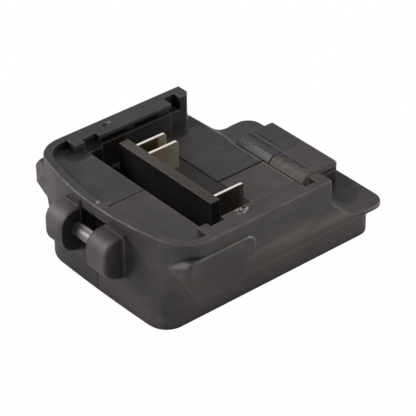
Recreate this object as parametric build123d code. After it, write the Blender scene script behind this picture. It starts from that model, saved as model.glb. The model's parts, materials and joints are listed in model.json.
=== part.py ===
from build123d import *
import os

# Battery adapter for slide packs, in millimetres.
# X runs along the rails: the pack slides in from +X towards -X.
# Y runs across, and the two half shells meet on the plane y = 0.
# Z is up, with the flat bottom on z = 0.
# All X places are measured from the middle of the rails, and at the end
# every piece moves so that the origin lies under the middle of the whole.

# Overall shell
RIM_TOP = 32.7           # top of the rim above the flat bottom
HALF_WIDTH = 37.5        # half the width of the upper shell
FRONT_X = -40.1          # foremost point of the rim
FRONT_BOW = 112.0        # radius of the rim's bowed front
RIM_CORNER = 10.5        # plan radius of the rim's front corners
BASE_HALF_WIDTH = 31.7   # half the width of the narrower foot
BASE_FRONT_X = -39.6     # foremost point of the foot
BASE_BOW = 600.0         # radius of the foot's nearly straight front
BASE_CORNER = 7.5        # plan radius of the foot's near front corner
BASE_FAR_CORNER = 13.0   # and of its far front corner
BASE_REAR_X = 48.4       # rear wall
REAR_CORNER = 5.5        # plan radius of the rear corners
BELT_BOTTOM = 7.0        # the wall leans out from here
BELT_TOP = 21.0          # and is upright again from here
FOOT_CHAMFER = 0.6       # chamfer of the bottom edge
WALL = 2.4               # wall of the moulding
FLOOR = 2.2              # floor of the moulding

# Rim, rails and decks
RIM_WALL = 2.8           # wall of the rim above the front deck
FRONT_DECK_Z = 29.65
REAR_DECK_Z = 19.6
RAIL_END_X = 24.0        # the rails reach this far each way
BAY_HALF_WIDTH = 30.0    # between the lips of the two rails
LIP_UNDERSIDE = 31.2
CHANNEL_FLOOR = 29.1
CHANNEL_DEPTH = 1.6      # of the channel under each lip
FRONT_NOTCH_START = -20.3
FRONT_NOTCH_END = -14.4
FRONT_NOTCH_BACK = 32.0
REAR_NOTCH_START = 15.1
REAR_NOTCH_END = 20.0
REAR_NOTCH_BACK = 34.6
REAR_NOTCH_FLOOR = 28.0
REAR_BAY_INSET = 1.3     # from the rear notch on, the bay's walls stand back
REAR_BAY_CHAMFER = 1.4   # and flare at the very end
RIM_CHAMFER = 0.35       # chamfer of the rim's outer edge
POCKET_STARTS = (-12.6, 0.6)  # two deeper pockets in each channel
POCKET_LENGTH = 9.9

# Rear: slope, ear, hook recess and pedestal
SLOPE_TOP_Z = 23.7       # the slope starts here at the rail end
SLOPE_FOOT_X = 38.0
SLOPE_ROUND = 5.0        # hollow rounding at the top of the slope
SLOPE_FOOT_ROUND = 9.0   # and at its foot
EAR_TOP = 11.0
EAR_THICKNESS = 1.2
EAR_OVERHANG = 4.1       # past the rear wall
EAR_HALF_WIDTH = 33.8
EAR_CORNER = 5.5
EAR_LEAD = 4.2           # length over which the ear widens out of the side wall
EAR_LEAD_ROUND = 8.0
EAR_CHAMFER = 0.3
HOOK_FRONT_X = 28.5      # the deck ends here and the hook recess starts
HOOK_GAP = 2.6           # width of the recess
HOOK_HALF_WIDTH = 17.0
HOOK_FLOOR = 12.5
PEDESTAL_HALF_WIDTH = 16.1
PEDESTAL_TOP = 20.2
PEDESTAL_REAR_X = 47.0
PEDESTAL_CORNER = 1.2
RIDGE_FOOT_Z = 17.4
RIDGE_RUN = 2.7          # length of the ridge's leaning face
RIDGE_ROUND = 1.0
TROUGH_DEPTH = 0.45      # shallow trough that falls away behind the ridge
TROUGH_REAR_X = 37.3     # and ends in a small step up to the plate
TROUGH_STEP = 0.3
STEP_HEIGHT = 1.2        # the top of the plate is a little smaller down to here
STEP_INSET = 0.4
STEP_CHAMFER = 0.4
PLATE_THICKNESS = 2.4
GROOVE_HEIGHT = 0.8
GROOVE_DEPTH = 0.7

# Slot in front of the terminals, and the terminal block
SLOT_FRONT_X = -20.2
SLOT_HALF_WIDTH = 28.6
SLOT_FLOOR = 12.0
BLOCK_FRONT_X = -9.6
BLOCK_REAR_X = 9.2
BLOCK_HALF_WIDTH = 29.4
BLOCK_FLANGE = 2.0
BLOCK_GAP = 0.1          # between the block and the sides of its window
BLOCK_REAR_GAP = 0.4     # and behind the block
BAR_THICKNESS = 3.6
BAR_NEAR_Y = -19.3
BAR_FAR_Y = 26.3

# Contact blades
BLADE_PLACES = {"blade_plus": 21.8, "blade_sense": 15.6, "blade_minus": -16.5}
BLADE_LENGTH = 11.8
BLADE_TOP = 29.5
BLADE_THICKNESS = 0.9
BLADE_ROUND = 1.2
BLADE_GAP = 0.1          # between a blade and the bar
TAIL_WIDTH = 3.0

# Lugs and strap pin at the front
LUG_X = -42.0
LUG_Z = 21.75
LUG_HALF_HEIGHT = 7.0
LUG_FRONT_DROP = 6.2     # the underside lies this far below the pin in front
LUG_REAR_DROP = 9.7      # and this far below it inside the wall
LUG_NOSE = 6.0           # from the pin's axis to the front of the lug
LUG_ROUND = 5.5          # radius of the lug's upper and lower front
LUG_INNER_Y = 6.0
LUG_OUTER_Y = 15.5
LUG_EDGE = 1.6           # rounding of the lug's outer end
STRAP_BACK_X = -35.0     # back wall of the recess behind the pin
STRAP_ROUND = 2.0
PIN_DIAMETER = 4.6
PIN_HOLE_DEPTH = 6.9
PIN_RUNNING_GAP = 0.05   # between pin and hole, all round
PIN_END_GAP = 0.3
PIN_CHAMFER = 0.4

# Raised grip on each side
GRIP_PROUD = 0.8
GRIP_FRONT_X = -34.2     # front end of the flat face
GRIP_TIP_X = -36.6       # the cut-off front end meets the corner here
GRIP_TIP_Y = 32.0
GRIP_REAR_X = -7.4
GRIP_TOP = 27.6
GRIP_BELLY_Z = 21.4      # the rear end starts to lean here
GRIP_BROW_X = -32.8      # the upper edge slopes down to the tip from here
GRIP_NOSE_Z = 24.5       # height of the tip, where the front end starts to lean
GRIP_BOTTOM = 11.5
GRIP_HEEL_X = -13.0      # rear end of the lower edge
GRIP_TOE_X = -30.3       # front end of the lower edge
GRIP_ROUND = 3.5
GRIP_NOSE_ROUND = 2.0    # at both ends of the sloping upper edge
GRIP_CORNER = 1.2        # plan radius at the front end of the flat face
GRIP_CHAMFER = 0.5

# Circuit board
BOARD_THICKNESS = 1.6
BOARD_TOP = 4.6
BOARD_FRONT_X = -25.0
BOARD_REAR_GAP = 1.1     # between the board and the button
BOARD_HALF_WIDTH = 26.0
BOARD_SCREW_X = (-21.0, 30.0)
BOARD_SCREW_Y = 22.0
BOARD_SCREW_RADIUS = 1.25
BOARD_SCREW_HEAD = 2.3
BOARD_SCREW_HEAD_HEIGHT = 1.5
BOARD_SCREW_LENGTH = 3.6
STANDOFF_RADIUS = 3.0

# Parts on the board
INDUCTOR_SIZE = 10.0
INDUCTOR_HEIGHT = 8.0
INDUCTOR_ROUND = 1.5
INDUCTOR_X = 20.5
CAPACITOR_RADIUS = 4.0
CAPACITOR_HEIGHT = 11.0
CAPACITOR_X = 20.5
CAPACITOR_Y = 14.0
CAPACITOR_CHAMFER = 0.5
TRANSISTOR_LENGTH = 6.5
TRANSISTOR_WIDTH = 6.0
TRANSISTOR_HEIGHT = 2.3
TRANSISTOR_X = -1.0
TRANSISTOR_Y = 5.0
SINK_MARGIN = 1.0        # the heat sink reaches this far past the transistors
SINK_THICKNESS = 1.5
SINK_FIN_HEIGHT = 4.0
SINK_FIN_WIDTH = 0.8
SINK_FINS = 5
CHIP_SIZE = 5.0
CHIP_HEIGHT = 1.0
CHIP_X = 30.0
FUSE_RADIUS = 2.0
FUSE_LENGTH = 20.0
FUSE_CAP_RADIUS = 2.2
FUSE_CAP_LENGTH = 4.0
FUSE_X = -15.0

# Output sockets, button and light in the low rear wall
SOCKET_Y = 18.0
OUTLET_Z = 5.2           # height of the middle of sockets, button and light
SOCKET_WIDTH = 13.2
SOCKET_HEIGHT = 5.2
SOCKET_DEPTH = 14.0
SOCKET_WALL = 0.35
SOCKET_SETBACK = 0.4     # the shells end this far inside the rear face
SOCKET_GAP = 0.15        # between a socket and its window
SOCKET_BACK = 2.0        # thickness of the insulating back in each socket
TONGUE_WIDTH = 10.8
TONGUE_HEIGHT = 1.8
TONGUE_SETBACK = 1.0
BUTTON_WIDTH = 9.0
BUTTON_HEIGHT = 4.4
BUTTON_PROUD = 0.8
BUTTON_GAP = 0.2
BUTTON_CHAMFER = 0.4
BUTTON_TRAVEL = 0.5
BUTTON_FLANGE = 0.7
BUTTON_FLANGE_THICKNESS = 1.0
BUTTON_SEAT_GAP = 0.1
SWITCH_WIDTH = 6.0
SWITCH_HEIGHT = 3.5
SWITCH_DEPTH = 3.5
SWITCH_SETBACK = 1.7     # from the back of the button's flange to the switch
PLUNGER_RADIUS = 1.0
PLUNGER_INSET = 0.7      # the plunger's end inside the switch at rest
PLUNGER_GAP = 0.1
LIGHT_Y = 8.0
LIGHT_RADIUS = 1.0
LIGHT_LENGTH = 3.8

# Screws that close the shell, driven in from the far side: (x, z) of each
SCREW_PLACES = ((-31.5, 8.0), (10.5, 10.2), (39.5, 13.9))
SCREW_RADIUS = 1.5
SCREW_HEAD_RADIUS = 2.5
SCREW_HEAD_HEIGHT = 2.0
SCREW_HEAD_Y = 12.0
SCREW_REACH = 10.0       # how far the thread reaches into the near half
SCREW_HOLE_GAP = 0.15
SCREW_TIP_GAP = 1.0
BOSS_WALL = 1.6

# Places that follow from the sizes above
NOSE_X = LUG_X - LUG_NOSE
EAR_REAR_X = BASE_REAR_X + EAR_OVERHANG
MIDDLE_X = (NOSE_X + EAR_REAR_X) / 2
RIM_INNER_Y = HALF_WIDTH - RIM_WALL
PEDESTAL_FRONT_X = HOOK_FRONT_X + HOOK_GAP
BLADE_FRONT_X = BLOCK_FRONT_X + BAR_THICKNESS + BLADE_GAP
BLADE_REAR_X = BLADE_FRONT_X + BLADE_LENGTH
DECK_UNDERSIDE = REAR_DECK_Z - WALL
SLOT_LEDGE_X = BLOCK_FRONT_X + WALL
BOARD_UNDERSIDE = BOARD_TOP - BOARD_THICKNESS
REAR_INNER_X = BASE_REAR_X - WALL
SOCKET_REAR_X = BASE_REAR_X - SOCKET_SETBACK
SOCKET_FRONT_X = SOCKET_REAR_X - SOCKET_DEPTH
BUTTON_BACK_X = REAR_INNER_X - BUTTON_SEAT_GAP - BUTTON_FLANGE_THICKNESS
BOARD_REAR_X = BUTTON_BACK_X - BOARD_REAR_GAP
SWITCH_REAR_X = BUTTON_BACK_X - SWITCH_SETBACK
PIN_HOLE_END = LUG_INNER_Y + PIN_HOLE_DEPTH
PIN_HALF_LENGTH = PIN_HOLE_END - PIN_END_GAP
SCREW_HOLE_RADIUS = SCREW_RADIUS + SCREW_HOLE_GAP
HEAD_HOLE_RADIUS = SCREW_HEAD_RADIUS + SCREW_HOLE_GAP
BEYOND = 5.0             # cuts reach this far past the faces that they open


def block(x0, x1, y0, y1, z0, z1):
    """A rectangular solid between two corners."""
    size = Box(x1 - x0, y1 - y0, z1 - z0)
    return Pos((x0 + x1) / 2, (y0 + y1) / 2, (z0 + z1) / 2) * size


def both_sides(shape):
    """The shape and its mirror image across the middle plane."""
    return shape + mirror(shape, Plane.XZ)


def across(outline, half_width):
    """A solid with an X-Z outline that reaches as far to both sides."""
    return extrude(Plane.XZ * outline, amount=half_width, both=True)


def rod(x, z, radius, y0, y1):
    """A round solid along Y."""
    turned = Pos(x, (y0 + y1) / 2, z) * Rot(90, 0, 0)
    return turned * Cylinder(radius, y1 - y0)


def corner(outline, x, y):
    """The outline's corner nearest to a point."""
    return outline.vertices().sort_by_distance((x, y))[0]


# Outer form of the shell

def plan_outline(front_x, rear_x, half_width, bow, near_round, far_round, rear_round):
    """Bowed front, straight sides and rear, and four rounded corners."""
    side_x = front_x + bow - (bow**2 - half_width**2) ** 0.5
    front = ThreePointArc((side_x, half_width), (front_x, 0), (side_x, -half_width))
    rest = Polyline(front @ 1, (rear_x, -half_width), (rear_x, half_width), front @ 0)
    outline = make_face(front + rest)
    outline = fillet(outline.vertices().group_by(Axis.X)[-1], rear_round)
    outline = fillet(corner(outline, side_x, -half_width), near_round)
    return fillet(corner(outline, side_x, half_width), far_round)


def foot_outline(inset):
    """Outline of the narrow foot, drawn in by the inset."""
    return plan_outline(
        BASE_FRONT_X + inset, BASE_REAR_X - inset, BASE_HALF_WIDTH - inset,
        BASE_BOW, BASE_CORNER - inset, BASE_FAR_CORNER - inset, REAR_CORNER - inset,
    )


def rim_outline(inset):
    """Outline of the wide upper shell, drawn in by the inset."""
    return plan_outline(
        FRONT_X + inset, BASE_REAR_X - inset, HALF_WIDTH - inset,
        FRONT_BOW, RIM_CORNER - inset, RIM_CORNER - inset, REAR_CORNER - inset,
    )


def tapered_form(inset, bottom):
    """The upright foot, the leaning belt and the upright upper shell."""
    foot = Pos(0, 0, BELT_BOTTOM) * foot_outline(inset)
    rim = Pos(0, 0, BELT_TOP) * rim_outline(inset)
    low = extrude(foot, amount=bottom - BELT_BOTTOM)
    belt = loft([foot, rim], ruled=True)
    high = extrude(rim, amount=RIM_TOP - BELT_TOP)
    return low + belt + high


def rear_cut():
    """What is cut away above the slope behind the rails and above the ear."""
    top = RIM_TOP + BEYOND
    rear = EAR_REAR_X + BEYOND
    outline = make_face(Polyline(
        (RAIL_END_X, top), (RAIL_END_X, SLOPE_TOP_Z), (SLOPE_FOOT_X, EAR_TOP),
        (rear, EAR_TOP), (rear, top), close=True,
    ))
    outline = fillet(corner(outline, RAIL_END_X, SLOPE_TOP_Z), SLOPE_ROUND)
    outline = fillet(corner(outline, SLOPE_FOOT_X, EAR_TOP), SLOPE_FOOT_ROUND)
    return across(outline, HALF_WIDTH + BEYOND)


def ear():
    """Thin plate that stands out past the rear wall and the sides."""
    lead_x = SLOPE_FOOT_X + EAR_LEAD
    inner_y = BASE_HALF_WIDTH
    outline = make_face(Polyline(
        (SLOPE_FOOT_X, inner_y), (lead_x, EAR_HALF_WIDTH), (EAR_REAR_X, EAR_HALF_WIDTH),
        (EAR_REAR_X, -EAR_HALF_WIDTH), (lead_x, -EAR_HALF_WIDTH), (SLOPE_FOOT_X, -inner_y), close=True,
    ))
    outline = fillet(outline.vertices().group_by(Axis.X)[-1], EAR_CORNER)
    leads = [corner(outline, lead_x, side) for side in (EAR_HALF_WIDTH, -EAR_HALF_WIDTH)]
    outline = fillet(leads, EAR_LEAD_ROUND)
    plate = extrude(Pos(0, 0, EAR_TOP - EAR_THICKNESS) * outline, amount=EAR_THICKNESS)
    return chamfer(plate.faces().sort_by(Axis.Z)[-1].edges(), EAR_CHAMFER)


def pedestal_outline(inset):
    """X-Z outline of the pedestal: the leaning ridge, the trough behind it and the flat plate."""
    ridge_x = PEDESTAL_FRONT_X + RIDGE_RUN
    rear_x = PEDESTAL_REAR_X - inset
    bottom = EAR_TOP - EAR_THICKNESS
    outline = make_face(Polyline(
        (PEDESTAL_FRONT_X, bottom), (PEDESTAL_FRONT_X, RIDGE_FOOT_Z), (ridge_x, PEDESTAL_TOP),
        (TROUGH_REAR_X - TROUGH_STEP, PEDESTAL_TOP - TROUGH_DEPTH), (TROUGH_REAR_X, PEDESTAL_TOP),
        (rear_x, PEDESTAL_TOP), (rear_x, bottom), close=True,
    ))
    return fillet(corner(outline, ridge_x, PEDESTAL_TOP), RIDGE_ROUND)


def pedestal_form(inset):
    """The pedestal as a solid, drawn in by the inset at the sides and rear."""
    solid = across(pedestal_outline(inset), PEDESTAL_HALF_WIDTH - inset)
    rear_edges = solid.edges().filter_by(Axis.Z).group_by(Axis.X)[-1]
    return fillet(rear_edges, PEDESTAL_CORNER - inset)


def pedestal_ring(depth, bottom, top):
    """Outer skin of the pedestal behind the ridge, between two heights."""
    band = block(
        PEDESTAL_FRONT_X + RIDGE_RUN, PEDESTAL_REAR_X + BEYOND, -HALF_WIDTH, HALF_WIDTH, bottom, top,
    )
    return (pedestal_form(0) - pedestal_form(depth)) & band


def pedestal():
    """Latching pedestal: ridge and stepped plate with a finger groove under the plate."""
    step_z = PEDESTAL_TOP - STEP_HEIGHT
    groove_top = PEDESTAL_TOP - PLATE_THICKNESS
    groove = pedestal_ring(GROOVE_DEPTH, groove_top - GROOVE_HEIGHT, groove_top)
    step = pedestal_ring(STEP_INSET, step_z, PEDESTAL_TOP)
    edge = pedestal_ring(STEP_INSET + STEP_CHAMFER, PEDESTAL_TOP - STEP_CHAMFER, PEDESTAL_TOP)
    return pedestal_form(0) - groove - step - edge


def lug():
    """Far lug of the pair: a rounded nose that carries one end of the strap pin."""
    back_x = BASE_FRONT_X + WALL
    top = LUG_Z + LUG_HALF_HEIGHT
    outline = make_face(Polyline(
        (NOSE_X, top), (back_x, top), (back_x, LUG_Z - LUG_REAR_DROP),
        (NOSE_X, LUG_Z - LUG_FRONT_DROP), close=True,
    ))
    outline = fillet(outline.vertices().group_by(Axis.X)[0], LUG_ROUND)
    solid = Pos(0, LUG_OUTER_Y, 0) * extrude(Plane.XZ * outline, amount=LUG_OUTER_Y - LUG_INNER_Y)
    outer_edges = solid.faces().sort_by(Axis.Y)[-1].edges().sort_by(Axis.X)
    return fillet(outer_edges[:-1], LUG_EDGE)


def grip():
    """Far grip: a flat raised panel whose front end stands out past the rounded corner."""
    outer_y = HALF_WIDTH + GRIP_PROUD
    inner_y = BASE_HALF_WIDTH - WALL
    outline = make_face(Polyline(
        (GRIP_BROW_X, GRIP_TOP), (GRIP_REAR_X, GRIP_TOP), (GRIP_REAR_X, GRIP_BELLY_Z),
        (GRIP_HEEL_X, GRIP_BOTTOM), (GRIP_TOE_X, GRIP_BOTTOM), (GRIP_TIP_X, GRIP_NOSE_Z), close=True,
    ))
    outline = fillet(corner(outline, GRIP_BROW_X, GRIP_TOP), GRIP_NOSE_ROUND)
    outline = fillet(corner(outline, GRIP_TIP_X, GRIP_NOSE_Z), GRIP_NOSE_ROUND)
    for x, z in (
        (GRIP_REAR_X, GRIP_TOP), (GRIP_REAR_X, GRIP_BELLY_Z),
        (GRIP_HEEL_X, GRIP_BOTTOM), (GRIP_TOE_X, GRIP_BOTTOM),
    ):
        outline = fillet(corner(outline, x, z), GRIP_ROUND)
    panel = Pos(0, outer_y, 0) * extrude(Plane.XZ * outline, amount=outer_y - inner_y)
    panel = chamfer(panel.faces().sort_by(Axis.Y)[-1].edges(), GRIP_CHAMFER)
    plan = make_face(Polyline(
        (GRIP_TIP_X, inner_y), (GRIP_REAR_X, inner_y), (GRIP_REAR_X, outer_y),
        (GRIP_FRONT_X, outer_y), (GRIP_TIP_X, GRIP_TIP_Y), close=True,
    ))
    plan = fillet(corner(plan, GRIP_FRONT_X, outer_y), GRIP_CORNER)
    return panel & extrude(plan, amount=RIM_TOP)


def outer_form():
    """The closed outside of both half shells together."""
    form = tapered_form(0, 0)
    form = chamfer(form.faces().sort_by(Axis.Z)[-1].edges(), RIM_CHAMFER)
    form = chamfer(form.faces().sort_by(Axis.Z)[0].edges(), FOOT_CHAMFER)
    form = form - rear_cut()
    form = form + ear() + pedestal()
    return form + both_sides(lug()) + both_sides(grip())


# Openings in the top of the shell

def front_deck_cut():
    """Sunk front deck inside the rim, narrower where the rail lips start."""
    outline = plan_outline(
        FRONT_X + RIM_WALL, BASE_REAR_X, RIM_INNER_Y, FRONT_BOW,
        RIM_CORNER - RIM_WALL, RIM_CORNER - RIM_WALL, REAR_CORNER,
    )
    pocket = extrude(Pos(0, 0, FRONT_DECK_Z) * outline, amount=RIM_TOP - FRONT_DECK_Z + BEYOND)
    wide = block(NOSE_X, -RAIL_END_X, -HALF_WIDTH, HALF_WIDTH, 0, RIM_TOP + BEYOND)
    narrow = block(
        -RAIL_END_X, SLOT_FRONT_X, -BAY_HALF_WIDTH, BAY_HALF_WIDTH, 0, RIM_TOP + BEYOND,
    )
    return pocket & (wide + narrow)


def bay_cut():
    """The bay between the rails, a little wider at its rear, and the slot in its front."""
    top = RIM_TOP + BEYOND
    rear_x = RAIL_END_X + BEYOND
    wide = BAY_HALF_WIDTH + REAR_BAY_INSET
    flare = wide + REAR_BAY_CHAMFER + BEYOND
    bay = block(FRONT_NOTCH_END, EAR_REAR_X, -BAY_HALF_WIDTH, BAY_HALF_WIDTH, REAR_DECK_Z, top)
    slot = block(SLOT_FRONT_X, BLOCK_FRONT_X, -SLOT_HALF_WIDTH, SLOT_HALF_WIDTH, SLOT_FLOOR, top)
    rear_outline = make_face(Polyline(
        (REAR_NOTCH_START, wide), (RAIL_END_X - REAR_BAY_CHAMFER, wide), (rear_x, flare),
        (rear_x, -flare), (RAIL_END_X - REAR_BAY_CHAMFER, -wide), (REAR_NOTCH_START, -wide), close=True,
    ))
    rear_bay = extrude(Pos(0, 0, REAR_DECK_Z) * rear_outline, amount=top - REAR_DECK_Z)
    return bay + slot + rear_bay


def rail_cuts():
    """Channel, pockets and notches of the far rail."""
    top = RIM_TOP + BEYOND
    cuts = block(
        FRONT_NOTCH_END, REAR_NOTCH_START, 0, BAY_HALF_WIDTH + CHANNEL_DEPTH,
        CHANNEL_FLOOR, LIP_UNDERSIDE,
    )
    cuts = cuts + block(
        FRONT_NOTCH_START, FRONT_NOTCH_END, 0, FRONT_NOTCH_BACK, CHANNEL_FLOOR, top,
    )
    cuts = cuts + block(
        REAR_NOTCH_START, REAR_NOTCH_END, 0, REAR_NOTCH_BACK, REAR_NOTCH_FLOOR, top,
    )
    for start in POCKET_STARTS:
        cuts = cuts + block(
            start, start + POCKET_LENGTH, 0, RIM_INNER_Y, CHANNEL_FLOOR, LIP_UNDERSIDE,
        )
    return cuts


def hook_cut():
    """Recess between the rear deck and the ridge, where the pack's hook drops in."""
    return block(
        HOOK_FRONT_X, PEDESTAL_FRONT_X, -HOOK_HALF_WIDTH, HOOK_HALF_WIDTH,
        HOOK_FLOOR, REAR_DECK_Z + BEYOND,
    )


def strap_recess(wall):
    """Space for a strap round the pin, or the keep-out round it with a wall."""
    outline = Rectangle(
        STRAP_BACK_X + wall - NOSE_X + BEYOND, 2 * (LUG_HALF_HEIGHT + wall),
    )
    outline = fillet(outline.vertices().group_by(Axis.X)[-1], STRAP_ROUND + wall)
    middle_x = (STRAP_BACK_X + wall + NOSE_X - BEYOND) / 2
    return across(Pos(middle_x, LUG_Z) * outline, LUG_INNER_Y + wall)


def pin_hole():
    """Blind bore for one end of the strap pin."""
    radius = PIN_DIAMETER / 2 + PIN_RUNNING_GAP
    return rod(LUG_X, LUG_Z, radius, 0, PIN_HOLE_END)


def block_window():
    """Window in the deck for the terminal block, down to its ledge."""
    return block(
        BLOCK_FRONT_X, BLOCK_REAR_X + BLOCK_REAR_GAP, -BLOCK_HALF_WIDTH - BLOCK_GAP,
        BLOCK_HALF_WIDTH + BLOCK_GAP, SLOT_FLOOR, REAR_DECK_Z + BEYOND,
    )


def stadium(width, height, x0, x1):
    """A solid along X with a long round-ended section."""
    section = SlotOverall(width, height)
    return Pos(x0, 0, OUTLET_Z) * extrude(Plane.YZ * section, amount=x1 - x0)


def outlet_cuts():
    """Windows in the low rear wall for the sockets, the button and the light."""
    reach_y = SOCKET_WIDTH / 2 + SOCKET_GAP
    reach_z = SOCKET_HEIGHT / 2 + SOCKET_GAP
    socket = block(
        REAR_INNER_X - WALL, BASE_REAR_X + BEYOND, SOCKET_Y - reach_y, SOCKET_Y + reach_y,
        OUTLET_Z - reach_z, OUTLET_Z + reach_z,
    )
    button = stadium(
        BUTTON_WIDTH + 2 * BUTTON_GAP, BUTTON_HEIGHT + 2 * BUTTON_GAP,
        REAR_INNER_X - WALL, BASE_REAR_X + BEYOND,
    )
    light = Pos(BASE_REAR_X, LIGHT_Y, OUTLET_Z) * Rot(0, 90, 0) * Cylinder(LIGHT_RADIUS, 2 * LIGHT_LENGTH)
    return both_sides(socket) + button + light


# Inside of the shell

def screw_boss(x, z):
    """Solid round one closing screw, thicker where the head sits."""
    thin = rod(x, z, SCREW_HOLE_RADIUS + BOSS_WALL, -HALF_WIDTH, SCREW_HEAD_Y)
    thick = rod(x, z, HEAD_HOLE_RADIUS + BOSS_WALL, SCREW_HEAD_Y - BOSS_WALL, HALF_WIDTH)
    return thin + thick


def screw_bore(x, z):
    """Pilot hole in the near half, then clearance and head hole in the far half."""
    pilot = rod(x, z, SCREW_RADIUS, -SCREW_REACH - SCREW_TIP_GAP, 0)
    clearance = rod(x, z, SCREW_HOLE_RADIUS, 0, SCREW_HEAD_Y)
    head = rod(x, z, HEAD_HOLE_RADIUS, SCREW_HEAD_Y, HALF_WIDTH + BEYOND)
    return pilot + clearance + head


def board_screw_places():
    """Places of the four board screws."""
    return [(x, y) for x in BOARD_SCREW_X for y in (-BOARD_SCREW_Y, BOARD_SCREW_Y)]


def standoffs():
    """Low pillars that carry the circuit board."""
    pillars = Part()
    for x, y in board_screw_places():
        pillar = Pos(x, y, BOARD_UNDERSIDE / 2) * Cylinder(STANDOFF_RADIUS, BOARD_UNDERSIDE)
        pillars = pillars + pillar
    return pillars


def board_screw_bores(top):
    """Holes for the board screws, from their tips up to the given height."""
    bottom = BOARD_TOP - BOARD_SCREW_LENGTH
    bores = Part()
    for x, y in board_screw_places():
        bores = bores + Pos(x, y, (bottom + top) / 2) * Cylinder(BOARD_SCREW_RADIUS, top - bottom)
    return bores


def cavity_outline():
    """X-Z outline of the hollow inside: it follows the decks one wall below them."""
    slot_front = SLOT_FRONT_X - WALL
    hook_front = HOOK_FRONT_X - WALL
    hook_rear = PEDESTAL_FRONT_X + WALL
    return make_face(Polyline(
        (NOSE_X, FLOOR), (NOSE_X, FRONT_DECK_Z - WALL), (slot_front, FRONT_DECK_Z - WALL),
        (slot_front, SLOT_FLOOR - WALL), (SLOT_LEDGE_X, SLOT_FLOOR - WALL),
        (SLOT_LEDGE_X, DECK_UNDERSIDE), (hook_front, DECK_UNDERSIDE),
        (hook_front, HOOK_FLOOR - WALL), (hook_rear, HOOK_FLOOR - WALL),
        (hook_rear, EAR_TOP - WALL), (EAR_REAR_X, EAR_TOP - WALL), (EAR_REAR_X, FLOOR), close=True,
    ))


def side_cores():
    """Hollow inside the thick side walls below the channels."""
    top = REAR_NOTCH_FLOOR - WALL
    core = block(
        SLOT_LEDGE_X, REAR_NOTCH_START - WALL, BAY_HALF_WIDTH + WALL, HALF_WIDTH, DECK_UNDERSIDE, top,
    )
    return both_sides(core)


def cavity():
    """The hollow inside, less the bosses, pillars and walls that stand in it."""
    hollow = across(cavity_outline(), HALF_WIDTH) + side_cores()
    hollow = hollow & tapered_form(WALL, FLOOR)
    hollow = hollow - strap_recess(WALL) - standoffs()
    for x, z in SCREW_PLACES:
        hollow = hollow - screw_boss(x, z)
    return hollow


def shell():
    """Both half shells as one, before they are parted."""
    form = outer_form() - front_deck_cut() - bay_cut() - both_sides(rail_cuts())
    form = form - hook_cut() - strap_recess(0) - both_sides(pin_hole()) - block_window()
    form = form - cavity() - outlet_cuts() - board_screw_bores(BOARD_TOP)
    for x, z in SCREW_PLACES:
        form = form - screw_bore(x, z)
    return form


def half_shell(whole, side):
    """The near (-1) or far (1) half of the shell, parted on the middle plane."""
    reach = HALF_WIDTH + BEYOND
    keep = block(
        NOSE_X - BEYOND, EAR_REAR_X + BEYOND, min(0, side * reach), max(0, side * reach),
        -BEYOND, RIM_TOP + BEYOND,
    )
    return whole & keep


# Terminals

def blade(y):
    """A flat contact with a narrow tail that stands on the circuit board."""
    root_z = REAR_DECK_Z - WALL / 2
    tail_front = (BLADE_FRONT_X + BLADE_REAR_X - TAIL_WIDTH) / 2
    tail_rear = tail_front + TAIL_WIDTH
    outline = make_face(Polyline(
        (BLADE_FRONT_X, root_z), (BLADE_FRONT_X, BLADE_TOP), (BLADE_REAR_X, BLADE_TOP),
        (BLADE_REAR_X, root_z), (tail_rear, root_z), (tail_rear, BOARD_TOP),
        (tail_front, BOARD_TOP), (tail_front, root_z), close=True,
    ))
    outline = fillet(corner(outline, BLADE_REAR_X, BLADE_TOP), BLADE_ROUND)
    return Pos(0, y, 0) * across(outline, BLADE_THICKNESS / 2)


def terminal_block(blades):
    """Insulating block: base plate, skirt, rear flange and the upright bar."""
    half = BLOCK_HALF_WIDTH
    flange_top = DECK_UNDERSIDE - BLOCK_GAP
    plate = block(BLOCK_FRONT_X, BLOCK_REAR_X, -half, half, DECK_UNDERSIDE, REAR_DECK_Z)
    skirt = block(BLOCK_FRONT_X, SLOT_LEDGE_X, -half, half, SLOT_FLOOR, DECK_UNDERSIDE)
    heel = block(
        BLOCK_REAR_X - BLOCK_FLANGE, BLOCK_REAR_X, -half, half,
        flange_top - BLOCK_FLANGE, DECK_UNDERSIDE,
    )
    flange = block(
        BLOCK_REAR_X - BLOCK_FLANGE, BLOCK_REAR_X + BLOCK_FLANGE, -half, half,
        flange_top - BLOCK_FLANGE, flange_top,
    )
    bar = block(
        BLOCK_FRONT_X, BLOCK_FRONT_X + BAR_THICKNESS, BAR_NEAR_Y, BAR_FAR_Y,
        REAR_DECK_Z - WALL / 2, FRONT_DECK_Z,
    )
    solid = plate + skirt + heel + flange + bar
    for solid_blade in blades:
        solid = solid - solid_blade
    return solid


def strap_pin():
    """Plain steel pin with chamfered ends."""
    pin = rod(LUG_X, LUG_Z, PIN_DIAMETER / 2, -PIN_HALF_LENGTH, PIN_HALF_LENGTH)
    return chamfer(pin.edges().filter_by(GeomType.CIRCLE), PIN_CHAMFER)


# Circuit board and what it carries

def circuit_board():
    """Board with corner notches beside the sockets and holes for its screws."""
    board = block(
        BOARD_FRONT_X, BOARD_REAR_X, -BOARD_HALF_WIDTH, BOARD_HALF_WIDTH,
        BOARD_UNDERSIDE, BOARD_TOP,
    )
    notch = block(
        SOCKET_FRONT_X - SOCKET_GAP, BOARD_REAR_X + BEYOND, SOCKET_Y - SOCKET_WIDTH / 2 - SOCKET_GAP,
        HALF_WIDTH, 0, BOARD_TOP + BEYOND,
    )
    return board - both_sides(notch) - board_screw_bores(BOARD_TOP + BEYOND)


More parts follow.
